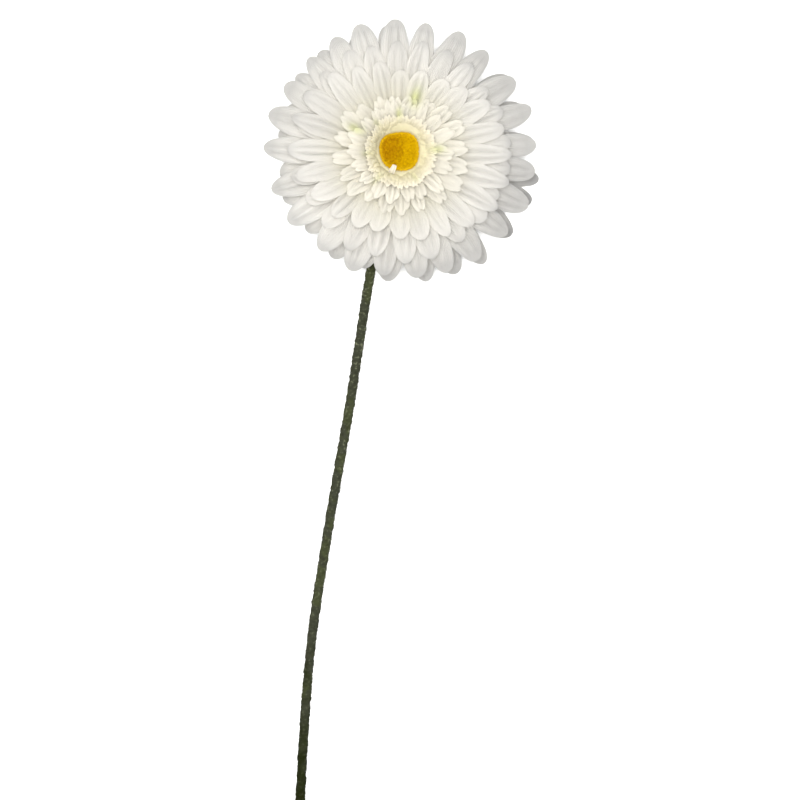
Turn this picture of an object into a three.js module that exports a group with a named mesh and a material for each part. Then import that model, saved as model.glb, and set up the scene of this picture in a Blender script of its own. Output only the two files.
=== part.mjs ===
import * as THREE from "three";

// Artificial gerbera, cut and lying on its back: the stem lies along the surface, its neck bends up and the
// head faces the sky. Millimetres, +Z up, +Y from the cut end to the head, origin on the surface under the
// middle of the whole flower.

// Head: where it sits, how far its lowest sheet is above the surface, and how it leans (degrees)
const headCentre = [-2, 169];
const sheetHeight = 20.5;
const leanAngle = 8;
const leanDirection = -15;

// Fabric sheets: each layer of petals is cut from one of them, with a round hole for the peg
const sheetThickness = 0.7;
const sheetPitch = 1.1;
const clearance = 0.3;
const pegRadius = 1.2;
const holeRadius = pegRadius + clearance;

// Petals: share of their room that they fill, how they narrow, and how far they twist (degrees) and dish
const petalFill = 0.95;
const rootWidth = 0.5;
const widestShare = 0.6;
const tipWidth = 0.3;
const tipShare = 1.02;
const tipShoulder = 0.985;
const rowCrowding = 1.15;
const petalTwist = 7;
const petalDish = 0.08;

// Stem: a rod with a flat under it, its steps and the length of its bend's handles
const stemRadius = 2;
const stemSides = 10;
const stemSteps = 34;
const neckSteps = 8;
const neckHandle = 6;

// Route of the lying stem, from the cut end to the neck, measured from the point under the head
const stemRoute = [
  [-47, -394],
  [-44.6, -330],
  [-42, -262],
  [-37.9, -208],
  [-30, -156],
  [-21.2, -105],
  [-13.1, -53],
  [-5, -11],
];

// Button in the middle: a low dome with a dimple. Its rim swells in waves, each with the number that go round
// it, their share of its radius and the direction of one peak in degrees
const padFront = 10;
const padRadius = 8.2;
const padThickness = 2.3;
const padSides = 36;
const padSwells = [
  [1, 0.05, 50],
  [2, 0.025, -13],
  [3, 0.026, 47],
  [4, 0.037, -42],
];

// Calyx: a cup in rows of pointed bracts
const calyxHeight = 8;
const calyxSides = 48;
const calyxFootRadius = 3;
const calyxRimRadius = 11;
const calyxFlare = 0.8;
const bractsPerRow = 12;
const bractRows = 3;
const bractStep = 0.6;
const bractLength = 2;
const bractTop = 3.2;

const { degToRad, lerp } = THREE.MathUtils;
const count = (n) => Array.from({ length: n }, (_, i) => i);

// Repeatable number from -1 to 1 for a petal and the draw that it is asked from
function vary(petal, draw) {
  const spread = Math.sin(12.9898 * petal + 78.233 * draw) * 43758.5453;
  return 2 * (spread - Math.floor(spread)) - 1;
}

// A value that changes round the head: its mean, a swing that peaks once and one that peaks twice round it,
// each with the direction of its peak in degrees, and each petal's own stray with the draw it comes from
function around(mean, [once, towards] = [0, 0], [twice, along] = [0, 0], [stray, draw] = [0, 1]) {
  return (angle, petal) =>
    mean +
    once * Math.cos(angle - degToRad(towards)) +
    twice * Math.cos(2 * (angle - degToRad(along))) +
    stray * vary(petal, draw);
}

// Layers from the back of the head to its front. A petal is turned from its even place by some degrees, runs
// from the root radius out to its reach, and its tip stands lift above its own sheet. The handles shape its
// curve: two pairs of a share of its length and a share of its lift.
const layers = [
  {
    name: "petals_long_lower",
    colour: "#e1ded9",
    petals: 24,
    rows: 6,
    root: 12,
    halfWidth: 5.6,
    turn: around(7.9, [5.9, -110], [1.6, -60], [2.1, 12798]),
    reach: around(55.2, [6, 0], [1.7, -15], [1.6, 9709]),
    lift: around(-7.6, [5.2, 165], [1.4, 75], [0.8, 21]),
    handles: [0.35, 0, 0.72, 0.55],
  },
  {
    name: "petals_long_upper",
    colour: "#e8e4dd",
    petals: 24,
    rows: 6,
    root: 12,
    halfWidth: 5.7,
    turn: around(4, [4.5, -59], [1.2, -78], [1.8, 2161]),
    reach: around(56.3, [3, 20], [2.1, -4], [1.1, 7007]),
    lift: around(0.5, [3.5, 165], [0.8, 75], [0.9, 22]),
    handles: [0.35, 0, 0.72, 0.7],
  },
  {
    name: "petals_middle_lower",
    colour: "#ebe7e0",
    petals: 24,
    rows: 5,
    root: 12,
    halfWidth: 4.9,
    turn: around(2.5, [4.5, -15], [0, 0], [1.2, 31]),
    reach: around(46.6, [1.2, 15], [0, 0], [1.4, 32]),
    lift: around(3.8, [1.2, 165], [0.4, 75], [0.6, 33]),
    handles: [0.33, 0.05, 0.66, 0.7],
  },
  {
    name: "petals_middle_upper",
    colour: "#eeeae2",
    petals: 24,
    rows: 5,
    root: 12,
    halfWidth: 4.6,
    turn: around(-1, [1, -60], [0, 0], [1.2, 41]),
    reach: around(41.6, [0.8, -30], [6.2, -12], [1.4, 42]),
    lift: around(5.6, [1.2, 165], [0.4, 75], [0.7, 43]),
    handles: [0.3, 0.08, 0.62, 0.85],
  },
  {
    name: "petals_short_lower",
    colour: "#f2ecdf",
    petals: 20,
    rows: 4,
    root: 11,
    halfWidth: 3.5,
    turn: around(5, [0, 0], [0, 0], [1, 51]),
    reach: around(27.5, [0.8, -25], [2.5, 0], [1.6, 52]),
    lift: around(5.2, [0.4, 165], [0, 0], [0.5, 53]),
    handles: [0.25, 0.1, 0.55, 0.9],
  },
  {
    name: "petals_short_upper",
    colour: "#f5eedb",
    petals: 18,
    rows: 4,
    root: 10,
    halfWidth: 3.1,
    turn: around(0, [0, 0], [0, 0], [1, 61]),
    reach: around(22.3, [1, -25], [1.2, 0], [1.3, 62]),
    lift: around(6.2, [0.2, 165], [0, 0], [0.5, 63]),
    handles: [0.27, 0.1, 0.42, 1],
  },
  {
    name: "fringe",
    colour: "#f0e6c4",
    petals: 32,
    rows: 3,
    root: 8.8,
    halfWidth: 1.3,
    turn: around(0),
    reach: around(15.8, [0.4, -15], [0, 0], [0.3, 72]),
    lift: around(6.6, [0, 0], [0, 0], [0.3, 73]),
    handles: [0.25, 0.1, 0.45, 0.75],
  },
];
layers.forEach((layer, level) => {
  layer.height = level * sheetPitch;
});
const topHeight = layers.at(-1).height + sheetThickness / 2;
const undersideHeight = -sheetThickness / 2;

// The head's own axis, and the point where it passes the lowest sheet
const up = new THREE.Vector3(0, 0, 1);
const axis = new THREE.Vector3().setFromSphericalCoords(1, degToRad(leanAngle), 0);
axis.set(axis.z, 0, axis.y).applyAxisAngle(up, degToRad(leanDirection));
const sheetCentre = new THREE.Vector3(-padFront * axis.x, -padFront * axis.y, sheetHeight);

// Height along the head's axis at which a point of a sheet's middle lies on the surface
function restingHeight(x, y) {
  return (sheetThickness / 2 - sheetCentre.z + x * axis.x + y * axis.y) / axis.z;
}

function cubic(a, b, c, d, t) {
  const u = 1 - t;
  return a * u ** 3 + 3 * b * u * u * t + 3 * c * u * t * t + d * t ** 3;
}

// Share of a petal's half width at a share of its length: a taper to the root and a round tip
function widthShare(share) {
  if (share < widestShare) {
    return lerp(rootWidth, 1, Math.sin((share / widestShare) * (Math.PI / 2)));
  }
  const past = (share - widestShare) / (tipShare - widestShare);
  return Math.max(tipWidth, Math.sqrt(1 - past ** 2));
}

function body(points, faces) {
  const geometry = new THREE.BufferGeometry().setFromPoints(points);
  geometry.setIndex(faces.flat());
  geometry.computeVertexNormals();
  return geometry;
}

// Closed body of even thickness round a surface given by its points and triangles
function thicken(points, triangles, thickness) {
  const normals = body(points, triangles).getAttribute("normal");
  const face = (side) =>
    points.map((point, i) => {
      const normal = new THREE.Vector3().fromBufferAttribute(normals, i);
      return point.clone().addScaledVector(normal, (side * thickness) / 2);
    });
  const edges = new Set(triangles.flatMap(([a, b, c]) => [`${a} ${b}`, `${b} ${c}`, `${c} ${a}`]));
  const under = points.length;
  const faces = [];
  for (const [a, b, c] of triangles) {
    faces.push([a, b, c], [c + under, b + under, a + under]);
    for (const [from, to] of [[a, b], [b, c], [c, a]]) {
      if (!edges.has(`${to} ${from}`)) {
        faces.push([to, from, from + under], [to, from + under, to + under]);
      }
    }
  }
  return body([...face(1), ...face(-1)], faces);
}

// Closed body from rings of points, looped back on itself or capped at both ends
function loft(rings, looped) {
  const sides = rings[0].length;
  const points = rings.flat();
  const faces = [];
  for (const k of count(looped ? rings.length : rings.length - 1)) {
    const here = k * sides;
    const next = ((k + 1) % rings.length) * sides;
    for (const j of count(sides)) {
      const turn = (j + 1) % sides;
      faces.push([here + j, here + turn, next + turn], [here + j, next + turn, next + j]);
    }
  }
  if (!looped) {
    const last = points.length - sides;
    for (const j of count(sides - 2)) {
      faces.push([0, j + 2, j + 1], [last, last + j + 1, last + j + 2]);
    }
  }
  return body(points, faces);
}

function piece(name, geometry, colour, roughness) {
  const material = new THREE.MeshStandardMaterial({ color: colour, roughness, metalness: 0 });
  const mesh = new THREE.Mesh(geometry, material);
  mesh.name = name;
  return mesh;
}

function polar(radius, angle, height) {
  return new THREE.Vector3(radius * Math.cos(angle), radius * Math.sin(angle), height);
}

function petalAngle(layer, i) {
  const even = (2 * Math.PI * i) / layer.petals;
  return even + degToRad(layer.turn(even, i));
}

// Point of a petal at a share of its length, some millimetres aside to the left of its middle
function petalPoint(layer, i, share, aside) {
  const angle = petalAngle(layer, i);
  const [outOne, liftOne, outTwo, liftTwo] = layer.handles;
  const out = lerp(layer.root, layer.reach(angle, i), cubic(0, outOne, outTwo, 1, share));
  const lift = layer.lift(angle, i) * cubic(0, liftOne, liftTwo, 1, share);
  const twist = degToRad(petalTwist) * vary(i, layer.petals + layer.root) * share;
  const roll = aside * Math.sin(twist) + petalDish * Math.abs(aside);
  const point = polar(out, angle, layer.height + lift + roll);
  point.x -= aside * Math.sin(angle);
  point.y += aside * Math.cos(angle);
  point.z = Math.max(point.z, restingHeight(point.x, point.y));
  return point;
}

// One layer: a round middle with its hole, parted into petals from the root radius on
function petalLayer(layer) {
  const points = [];
  const triangles = [];
  const add = (point) => points.push(point) - 1;
  const angles = count(layer.petals).map((i) => petalAngle(layer, i));
  const lastAngle = angles.at(-1) - 2 * Math.PI;
  const partings = angles.map((angle, i) => (angle + (i > 0 ? angles[i - 1] : lastAngle)) / 2);
  const inner = partings.map((angle) => add(polar(holeRadius, angle, layer.height)));
  const notches = partings.map((angle) => add(polar(layer.root, angle, layer.height)));
  for (const i of count(layer.petals)) {
    const next = (i + 1) % layer.petals;
    const rightRoom = angles[i] - partings[i];
    const leftRoom = partings[next] + (next === 0 ? 2 * Math.PI : 0) - angles[i];
    let row = [notches[i], add(polar(layer.root, angles[i], layer.height)), notches[next]];
    triangles.push([inner[i], row[0], row[1]], [inner[i], row[1], inner[next]]);
    triangles.push([inner[next], row[1], row[2]]);
    for (const k of count(layer.rows)) {
      const share = Math.sin(((k + 1) / layer.rows) * (Math.PI / 2)) ** rowCrowding;
      const edgeShare = Math.min(share, tipShoulder);
      const middle = petalPoint(layer, i, share, 0);
      const half = layer.halfWidth * widthShare(edgeShare);
      const room = petalFill * Math.hypot(middle.x, middle.y);
      const right = Math.min(half, room * Math.sin(rightRoom));
      const left = Math.min(half, room * Math.sin(leftRoom));
      const far = [
        add(petalPoint(layer, i, edgeShare, -right)),
        add(middle),
        add(petalPoint(layer, i, edgeShare, left)),
      ];
      triangles.push([row[0], far[0], far[1]], [row[0], far[1], row[1]]);
      triangles.push([row[1], far[1], row[2]], [far[1], far[2], row[2]]);
      row = far;
    }
  }
  return piece(layer.name, thicken(points, triangles, sheetThickness), layer.colour, 0.9);
}

// Ring of points round the head's axis, with its radius and height given for each angle
function ringAt(sides, radiusAt, heightAt) {
  return count(sides).map((j) => {
    const angle = (2 * Math.PI * j) / sides;
    return polar(radiusAt(angle), angle, heightAt(angle));
  });
}

// Button: its profile is given as shares of its radius and of its thickness, from the foot to the dimple
function centrePad() {
  const foot = topHeight + clearance;
  const profile = [
    [0.9, 0],
    [1, 0.3],
    [0.97, 0.62],
    [0.84, 0.86],
    [0.64, 0.97],
    [0.42, 1],
    [0.2, 0.9],
    [0.05, 0.85],
  ];
  const swell = (angle, [waves, size, towards]) => size * Math.cos(waves * (angle - degToRad(towards)));
  const rim = (angle) => padRadius * padSwells.reduce((sum, wave) => sum + swell(angle, wave), 1);
  const rings = profile.map(([out, height]) =>
    ringAt(padSides, (angle) => out * rim(angle), () => foot + padThickness * height),
  );
  return piece("centre_pad", loft(rings, false), "#c69204", 0.95);
}

// Calyx: each row of bracts ends in a zigzag edge that stands out over the next one, and a bore takes the peg
function calyx() {
  const rim = undersideHeight - clearance;
  const foot = rim - calyxHeight;
  const wall = (height) => {
    const share = (height - foot) / calyxHeight;
    return lerp(calyxFootRadius, calyxRimRadius, share ** calyxFlare);
  };
  const tooth = (angle, shift) => {
    const turn = (angle * bractsPerRow) / (2 * Math.PI) + shift;
    return 1 - Math.abs(2 * (turn - Math.floor(turn)) - 1);
  };
  const bore = (height) => ringAt(calyxSides, () => holeRadius, () => height);
  const rings = [bore(foot), ringAt(calyxSides, () => calyxFootRadius, () => foot)];
  for (const row of count(bractRows)) {
    const base = foot + (calyxHeight * (row + 0.75)) / bractRows;
    const edge = (angle) => Math.min(base + bractLength * (tooth(angle, row / 2) - 0.5), rim - clearance);
    rings.push(
      ringAt(calyxSides, (angle) => wall(edge(angle)) + bractStep, edge),
      ringAt(calyxSides, (angle) => wall(edge(angle)), (angle) => edge(angle) + clearance / 2),
    );
  }
  const crown = (angle) => tooth(angle, bractRows / 2);
  const crownRadius = (angle) => calyxRimRadius + bractTop * crown(angle);
  const crownHeight = (angle) => rim - clearance * crown(angle);
  rings.push(ringAt(calyxSides, crownRadius, crownHeight), bore(rim));
  return piece("calyx", loft(rings, true), "#5d6b35", 0.7);
}

// Stem: laid flat, bent up at the neck, with a shoulder under the calyx and the peg above it
function stem() {
  const lying = new THREE.CatmullRomCurve3(stemRoute.map(([x, y]) => new THREE.Vector3(x, y, stemRadius)));
  const onAxis = (height) => sheetCentre.clone().addScaledVector(axis, height);
  const shoulder = onAxis(undersideHeight - calyxHeight - 2 * clearance);
  const bend = lying.getPoint(1);
  const neck = new THREE.CubicBezierCurve3(
    bend,
    bend.clone().addScaledVector(lying.getTangent(1), neckHandle),
    shoulder.clone().addScaledVector(axis, -neckHandle),
    shoulder,
  );
  const along = (curve, share) => ({ at: curve.getPointAt(share), tangent: curve.getTangentAt(share) });
  const path = [
    ...count(stemSteps).map((k) => ({ ...along(lying, k / stemSteps), radius: stemRadius })),
    ...count(neckSteps + 1).map((k) => ({ ...along(neck, k / neckSteps), radius: stemRadius })),
    { at: shoulder, tangent: axis, radius: pegRadius },
    { at: onAxis(topHeight), tangent: axis, radius: pegRadius },
  ];
  const aside = new THREE.Vector3().crossVectors(up, lying.getTangent(0));
  const rings = path.map(({ at, tangent, radius }) => {
    aside.addScaledVector(tangent, -aside.dot(tangent)).normalize();
    const over = new THREE.Vector3().crossVectors(tangent, aside);
    const corner = radius / Math.cos(Math.PI / stemSides);
    return count(stemSides).map((j) => {
      const angle = (2 * Math.PI * (j + 0.5)) / stemSides - Math.PI / 2;
      const point = at.clone().addScaledVector(aside, corner * Math.cos(angle));
      return point.addScaledVector(over, corner * Math.sin(angle));
    });
  });
  return piece("stem", loft(rings, false), "#42432f", 0.95);
}

const head = new THREE.Group();
head.add(calyx(), ...layers.map(petalLayer), centrePad());
head.quaternion.setFromUnitVectors(up, axis);
head.position.copy(sheetCentre);

const gerbera = new THREE.Group();
gerbera.add(stem(), head);
gerbera.position.set(...headCentre, 0);

export default gerbera;
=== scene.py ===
"""Artificial gerbera: fabric petals in layers, cream fringe, flocked button, green calyx and wrapped stem."""

import math
from dataclasses import dataclass
from types import SimpleNamespace

import bmesh
import bpy
import numpy as np
from bpy.props import FloatProperty, FloatVectorProperty, IntProperty, PointerProperty
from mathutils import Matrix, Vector, noise


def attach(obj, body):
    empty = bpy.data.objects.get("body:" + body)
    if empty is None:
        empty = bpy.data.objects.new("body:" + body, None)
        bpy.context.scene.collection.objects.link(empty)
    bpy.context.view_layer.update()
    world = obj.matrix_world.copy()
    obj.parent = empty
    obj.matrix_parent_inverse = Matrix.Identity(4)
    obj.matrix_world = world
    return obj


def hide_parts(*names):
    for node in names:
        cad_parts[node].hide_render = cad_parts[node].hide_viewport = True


bl_info = {
    "name": "Fabric gerbera",
    "version": (1, 0, 0),
    "blender": (4, 5, 0),
    "location": "View3D > Sidebar > Gerbera",
    "description": "Makes the petals, fringe, button, calyx and stem of a fabric gerbera, with its stage",
    "category": "Add Mesh",
}

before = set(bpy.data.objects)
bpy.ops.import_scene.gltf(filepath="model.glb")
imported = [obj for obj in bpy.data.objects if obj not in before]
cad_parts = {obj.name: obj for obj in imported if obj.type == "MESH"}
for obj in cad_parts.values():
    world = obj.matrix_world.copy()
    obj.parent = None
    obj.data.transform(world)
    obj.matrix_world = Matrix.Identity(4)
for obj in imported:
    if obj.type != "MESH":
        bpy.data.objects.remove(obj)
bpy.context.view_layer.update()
MM = 0.001
WELD = 1e-6
CRISP_ANGLE = math.radians(55)

# Head, in millimetres: the point under its button, its lowest sheet's height, how it leans, and how far its
# button stands in front of that sheet
HEAD_POINT = (-2, 169)
SHEET_HEIGHT = 20.5
LEAN_ANGLE = math.radians(8)
LEAN_DIRECTION = math.radians(-15)
PAD_FRONT = 10

# Spacing of the sheets, as the solids have it
SOLID_THICKNESS = 0.7
SHEET_PITCH = 1.1
CLEARANCE = 0.3
PEG_RADIUS = 1.2
PEG_OVERLAP = 1
PEG_SIDES = 12
HOLE_RADIUS = PEG_RADIUS + CLEARANCE

# Share upright above which a fibre counts as steep
STEEP = 0.9

# Petal outline, as shares of its length and half width; a run is where along the petal something sets in
ROOT_FILL = 0.95
PETAL_FILL = 1.12
FILL_RUN = (0.1, 0.35)
EDGE_WAVE = 0.035
EDGE_WAVES = 2.3
NOTCHES = 0.6
NOTCH_GROOVE = 0.25
NOTCH_RUN = (0.4, 1)
ROOT_WIDTH = 0.5
WIDEST_SHARE = 0.6
TIP_SHARE = 1.002
ROW_CROWDING = 1.15
ROOT_BLEND = 0.12
HEAD_RADIUS = 60

# Petal's turn about its own length, and its rounded dish
SHINGLE = math.radians(5)
SHINGLE_RUN = (0.05, 0.3)
PETAL_TWIST = math.radians(7)
PETAL_DISH = 0.05
DISH_ROUND = 0.6

# Pressed relief: the channel between the creases, and the crown and ruffle as shares of the half width
CREASES_BEGIN = (0.06, 0.3)
CREASES_END = (0.8, 1)
CHANNEL_DEPTH = 0.8
CHANNEL_BREADTH = 0.2
CROWN = 0.085
CROWN_RUN = (0.1, 0.5)
RUFFLE = 0.035
CURL_RUN = (0.7, 1)

# Traits of one petal in the order of their draws: the middle value, and how far a draw takes it either way
PRESS_TRAITS = {
    "depth": (1, 0.85),
    "spread": (0.36, 0.12),
    "shift": (0, 0.16),
    "ruffle": (1.6, 0.6),
    "phase": (0, math.pi),
    "bend": (0, 0.7),
    "curl": (0, 0.2),
    "roundness": (1, 0.22),
    "tone": (0, 1),
    "breadth": (0.19, 0.06),
    "widening": (0, 0.08),
}

# Cloth: the pitch of its threads in millimetres, how often its veins come, and where the inner colour ends
THREAD_PITCH = 0.34
VEINS = 38
PETAL_BLEND = (0.28, 0.64)
FRINGE_BLEND = (0.16, 0.27)

# First numbers of the random draws
PETAL_SEED = 101
FRINGE_SEED = 211
BUTTON_SEED = 307
CALYX_SEED = 401
STEM_SEED = 31

# Pale green yellow stains on the inner petals: how far out, in which direction, how wide and how strong
STAINS = (
    (23.8, math.radians(73), 2.4, 1),
    (20.6, math.radians(153), 1.9, 0.9),
    (16, math.radians(4), 1.8, 0.9),
    (16, math.radians(91), 1.3, 0.9),
    (15.5, math.radians(130), 1.2, 0.5),
    (14, math.radians(184), 1.3, 0.5),
    (15, math.radians(230), 1.4, 0.5),
    (12.8, math.radians(300), 1.2, 0.5),
)
STAIN_STRETCH = 1.8
LOWEST_STAINED = 2

# Stem: radius, handles of its bend, spacing of its rings, and its route from the point under the head
STEM_RADIUS = 2
NECK_HANDLE = 6
ROUTE_STEPS = 80
NECK_STEPS = 60
STEM_STEP = 0.3
STEM_SIDES = 26
WIRE_RADIUS = 0.7
WIRE_LENGTH = 0.12
WIRE_SIDES = 20
WIRE_DARK = "7d7c78"
WIRE_BRIGHT = "b9b8b4"
STEM_ROUTE = (
    (-47, -394),
    (-44.6, -330),
    (-42, -262),
    (-37.9, -208),
    (-30, -156),
    (-21.2, -105),
    (-13.1, -53),
    (-5, -11),
)

# Stem's wrap: the pitch of its winding, how far its lumps reach and how soft they are, and its lumps and the
# step at each lap as shares of its roughness
WRAP_PITCH = 7.5
LUMP_REACH = 5
SOFT_SHARE = 0.6
LUMP_LIMIT = 2
LUMP_SHARE = 0.5
LAP_SHARE = 0.6

# Fibres on the stem: their rooting depth, width, length as a share of the mean, slant and stray
FIBRE_ROOT = 0.07
FIBRE_WIDTHS = (0.05, 0.11)
FIBRE_LENGTHS = (0.5, 1.4)
FIBRE_SLANT = 0.9
FIBRE_STRAY = 0.3
FIBRE_SIDES = 3

# Calyx: a cup with rows of bracts. A row has the shares of the height where it starts and ends, and its turn
CALYX_HEIGHT = 8
CALYX_FOOT = 3
CALYX_RIM = 11
CALYX_FLARE = 0.8
BRACTS_PER_ROW = 12
BRACT_ROWS = ((0, 0.46, 0), (0.14, 0.8, 0.5), (0.42, 0.985, 0), (0.72, 1, 0.5))
BRACT_THICKNESS = 0.3
BRACT_WIDTH = 1.12
BRACT_FOOT = 0.75
BRACT_BELLY = 0.5
BRACT_POINT = 2.4
BRACT_KEEL = 0.22
BRACT_STAND = 0.2
BRACT_SPLAY = 0.4
BRACT_STRAY = 0.06
BRACT_DROOP = 0.1
CROWN_DROOP = 0.35
CROWN_RADIUS = 14.2

# Button: its radius, thickness and profile as shares of both, and the waves in which its rim swells
PAD_RADIUS = 8.2
PAD_THICKNESS = 2.3
PAD_SWELLS = (
    (1, 0.05, math.radians(50)),
    (2, 0.025, math.radians(-13)),
    (3, 0.026, math.radians(47)),
    (4, 0.037, math.radians(-42)),
)
PAD_PROFILE = (
    (0.9, 0),
    (1, 0.3),
    (0.97, 0.62),
    (0.84, 0.86),
    (0.64, 0.97),
    (0.42, 1),
    (0.2, 0.9),
    (0.001, 0.85),
)

# Flock on the button: its clumps' size, height and fractal (roughness, gap and octaves), and the side where
# it is most orange
CLUMP_SIZE = 0.9
CLUMP_FRACTAL = (0.6, 2.3, 3)
CLUMP_HEIGHT = 0.4
ORANGE_SIDE_DIRECTION = math.radians(165)

# Fibres on the button: the turn from one to the next, widths, lengths as shares of the mean, stray, and how
# they lean and grow towards the rim
FLOCK_TURN = math.pi * (3 - math.sqrt(5))
FLOCK_WIDTHS = (0.2, 0.34)
FLOCK_LENGTHS = (0.6, 1.35)
FLOCK_STRAY = 0.35
FLOCK_SIDES = 4
LEAN_FROM = 0.75
LEAN_RATE = 6
LEAN_LEAST = 0.15
LEAN_MOST = 1.5
RIM_GROWTH = 0.8

# Camera: the point that it looks down on, its height, and its focal length as a share of its sensor's width
CAMERA_POINT = (-1.79, 64.85)
CAMERA_HEIGHT = 1100
SENSOR_WIDTH = 36
FOCAL_SHARE = 3.19

# Soft lights, in metres: the place of each and its side; and half the floor's side
LIGHTS = {
    "front": ((-0.03, 0.08, 1.55), 0.6),
    "key": ((-0.7, 0.95, 1.1), 0.9),
    "fill": ((0.9, -0.2, 0.9), 1.2),
}
FLOOR_HALF = 6

# Axis of the head, the middle of its lowest sheet, and the turn from upright to the axis
LEAN = math.sin(LEAN_ANGLE)
AXIS = Vector((LEAN * math.cos(LEAN_DIRECTION), LEAN * math.sin(LEAN_DIRECTION), math.cos(LEAN_ANGLE)))
SHEET_CENTRE = Vector((HEAD_POINT[0] - PAD_FRONT * AXIS.x, HEAD_POINT[1] - PAD_FRONT * AXIS.y, SHEET_HEIGHT))
HEAD_TURN = np.array(Vector((0, 0, 1)).rotation_difference(AXIS).to_matrix())


def linear(hex_colour):
    """A colour written as six hex digits, in the linear values that a shader takes."""
    values = [int(hex_colour[k : k + 2], 16) / 255 for k in (0, 2, 4)]
    return tuple(v / 12.92 if v <= 0.04045 else ((v + 0.055) / 1.055) ** 2.4 for v in values)


def vary(petal, draw):
    """Repeatable number from -1 to 1 for a petal and the draw that it is asked from."""
    spread = math.sin(12.9898 * petal + 78.233 * draw) * 43758.5453
    return 2 * (spread - math.floor(spread)) - 1


def around(mean, once=(0, 0), twice=(0, 0), stray=(0, 1)):
    """A value that changes round the head: a mean, swings that peak once and twice, and strays."""

    def value(angle, petal):
        return (
            mean
            + once[0] * math.cos(angle - math.radians(once[1]))
            + twice[0] * math.cos(2 * (angle - math.radians(twice[1])))
            + stray[0] * vary(petal, stray[1])
        )

    return value


@dataclass
class Layer:
    """A sheet cut into petals: how they turn, reach and lift, and the handles of their curve."""

    level: int
    petals: int
    root: float
    half_width: float
    turn: object
    reach: object
    lift: object
    handles: tuple
    rows: int = 34
    columns: int = 20
    thickness: float = 0.35
    pressed: float = 1
    blunt: float = 2.7
    only: tuple = ()
    middle: bool = True
    pale: float = 0
    notch: float = 0
    loose: float = 1

    @property
    def height(self):
        return self.level * SHEET_PITCH


SHORT = {"rows": 30, "columns": 18, "blunt": 4.2, "notch": 1.3, "loose": 1.8}
LAYERS = {
    "petals_long_lower": Layer(
        0, 24, 12, 5.6,
        around(7.9, (5.9, -110), (1.6, -60), (2.1, 12798)),
        around(55.2, (6, 0), (1.7, -15), (1.6, 9709)),
        around(-7.6, (5.2, 165), (1.4, 75), (0.8, 21)),
        (0.35, 0, 0.72, 0.55),
    ),
    "petals_long_upper": Layer(
        1, 24, 12, 5.7,
        around(4, (4.5, -59), (1.2, -78), (1.8, 2161)),
        around(56.3, (3, 20), (2.1, -4), (1.1, 7007)),
        around(0.5, (3.5, 165), (0.8, 75), (0.9, 22)),
        (0.35, 0, 0.72, 0.7),
    ),
    "petals_middle_lower": Layer(
        2, 24, 12, 4.9,
        around(2.5, (4.5, -15), (0, 0), (1.2, 31)),
        around(46.6, (1.2, 15), (0, 0), (1.4, 32)),
        around(3.8, (1.2, 165), (0.4, 75), (0.6, 33)),
        (0.33, 0.05, 0.66, 0.7),
    ),
    "petals_middle_upper": Layer(
        3, 24, 12, 4.6,
        around(-1, (1, -60), (0, 0), (1.2, 41)),
        around(41.6, (0.8, -30), (6.2, -12), (1.4, 42)),
        around(5.6, (1.2, 165), (0.4, 75), (0.7, 43)),
        (0.3, 0.08, 0.62, 0.85),
    ),
    "petals_short_lower": Layer(
        4, 20, 11, 3.5,
        around(5, stray=(1, 51)),
        around(27.5, (0.8, -25), (2.5, 0), (1.6, 52)),
        around(5.2, (0.4, 165), (0, 0), (0.5, 53)),
        (0.25, 0.1, 0.55, 0.9),
        **SHORT,
    ),
    "petals_short_upper": Layer(
        5, 18, 10, 3.1,
        around(0, stray=(1, 61)),
        around(22.3, (1, -25), (1.2, 0), (1.3, 62)),
        around(6.2, (0.2, 165), (0, 0), (0.5, 63)),
        (0.27, 0.1, 0.42, 1),
        **SHORT,
    ),
}

# Fringe: the cup of strips that the solid has, two frills inside it and one strip that has bent in over the
# button's edge
FRILL = {"rows": 14, "columns": 4, "thickness": 0.24, "pressed": 0.1, "blunt": 4, "middle": False}
FRINGE_ROWS = (
    Layer(
        6, 32, 8.8, 1.75,
        around(0, stray=(1.5, 71)), around(15.8, (0.4, -15), (0, 0), (0.8, 72)),
        around(6.6, (0, 0), (0, 0), (0.6, 73)),
        (0.25, 0.1, 0.45, 0.75),
        rows=20, columns=10, thickness=0.3, pressed=0.3, blunt=4, notch=0.8,
    ),
    Layer(
        6, 48, 8.8, 0.95,
        around(2, stray=(2.5, 81)), around(13.6, (0.5, -60), (0, 0), (0.9, 82)),
        around(5.6, (0.5, -110), (0, 0), (0.7, 83)),
        (0.2, 0.2, 0.42, 0.85),
        **FRILL,
    ),
    Layer(
        6, 40, 8.8, 0.75,
        around(5, stray=(3.5, 91)), around(11.8, (1.2, -120), (0, 0), (0.8, 92)),
        around(4.4, (0.9, -120), (0, 0), (0.6, 93)),
        (0.12, 0.4, 0.36, 0.9),
        **FRILL,
    ),
    Layer(
        6, 24, 9.6, 2.4,
        around(8.5), around(6.1), around(4.3),
        (-0.25, 0.9, 0.5, 1.12),
        rows=24, columns=12, thickness=0.3, pressed=0.4, blunt=2.8, only=(16,), middle=False, pale=0.3,
    ),
)

# Heights along the head's axis: of the calyx's and the button's foot, the stem's shoulder and the sheets' top
CALYX_BOTTOM = -SOLID_THICKNESS / 2 - CLEARANCE - CALYX_HEIGHT
SHOULDER = CALYX_BOTTOM - CLEARANCE
SHEETS_TOP = len(LAYERS) * SHEET_PITCH + SOLID_THICKNESS / 2
PAD_FOOT = SHEETS_TOP + CLEARANCE

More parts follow.
